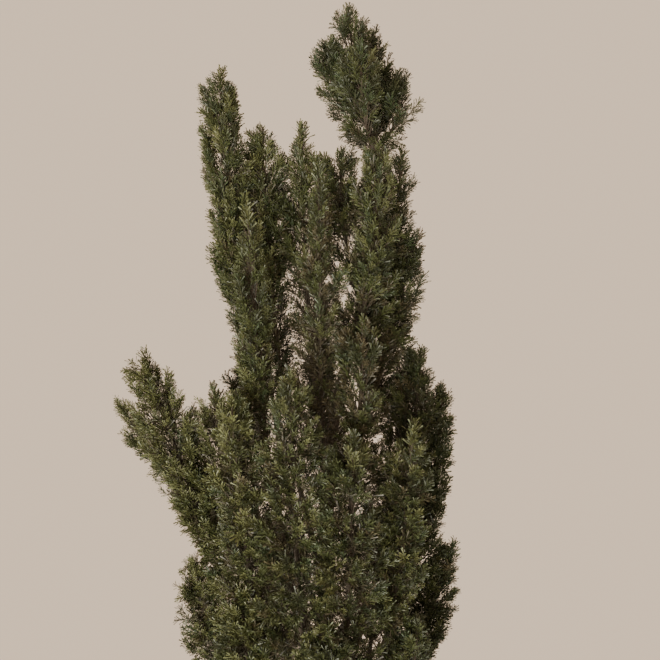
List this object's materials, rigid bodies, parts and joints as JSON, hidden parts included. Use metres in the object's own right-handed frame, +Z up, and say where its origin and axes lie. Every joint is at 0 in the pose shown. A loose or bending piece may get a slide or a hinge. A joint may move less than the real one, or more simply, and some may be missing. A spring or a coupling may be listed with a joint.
{
  "type": "young italian cypress tree",
  "caption": "Young columnar conifer: a slender leaning trunk with steep tapering boughs and narrow upright plumes of fine scale-leaved sprays, cut flat at the ground to stand planted.",
  "frame": {"origin": "the middle of the flat cut under the trunk, at ground level", "axes": "+Z up along the trunk, +X to the right and -Y towards the viewer of the picture"},
  "size_m": [0.6282, 0.4642, 1.936],
  "materials": {
    "bark": "rough grey-brown bark",
    "foliage": "matt olive-green scale leaves, some blue-green, yellow-olive and brown"
  },
  "bodies": {
    "root": {"trunk": "bark", "bough_back_left": "bark", "bough_back_mid": "bark", "bough_centre_spire": "bark", "bough_front_left": "bark", "bough_front_right": "bark", "bough_left_back": "bark", "bough_left_front": "bark", "bough_left_inner": "bark", "bough_left_leader": "bark", "bough_left_lobe": "bark", "bough_left_low": "bark", "bough_left_mid": "bark", "bough_left_shoulder": "bark", "bough_right_back": "bark", "bough_right_bright": "bark", "bough_right_mid": "bark", "bough_right_outer": "bark", "foliage_back_left": "foliage", "foliage_back_mid": "foliage", "foliage_centre_back": "foliage", "foliage_centre_front": "foliage", "foliage_centre_spire": "foliage", "foliage_column_back": "foliage", "foliage_column_front": "foliage", "foliage_column_left": "foliage", "foliage_column_right": "foliage", "foliage_column_side": "foliage", "foliage_front_left": "foliage", "foliage_front_right": "foliage", "foliage_inner_front": "foliage", "foliage_left_back": "foliage", "foliage_left_front": "foliage", "foliage_left_inner": "foliage", "foliage_left_leader": "foliage", "foliage_left_lobe": "foliage", "foliage_left_low": "foliage", "foliage_left_mid": "foliage", "foliage_left_shoulder": "foliage", "foliage_low_1": "foliage", "foliage_low_2": "foliage", "foliage_low_3": "foliage", "foliage_low_far_1": "foliage", "foliage_low_far_2": "foliage", "foliage_low_left": "foliage", "foliage_low_right": "foliage", "foliage_right_back": "foliage", "foliage_right_bright": "foliage", "foliage_right_mid": "foliage", "foliage_right_outer": "foliage", "foliage_skirt_1": "foliage", "foliage_skirt_2": "foliage", "foliage_skirt_3": "foliage", "foliage_skirt_4": "foliage", "foliage_skirt_5": "foliage", "foliage_top_back": "foliage", "foliage_top_front": "foliage", "foliage_top_leader": "foliage", "foliage_top_left": "foliage", "foliage_top_right": "foliage"}
  },
  "joints": []
}
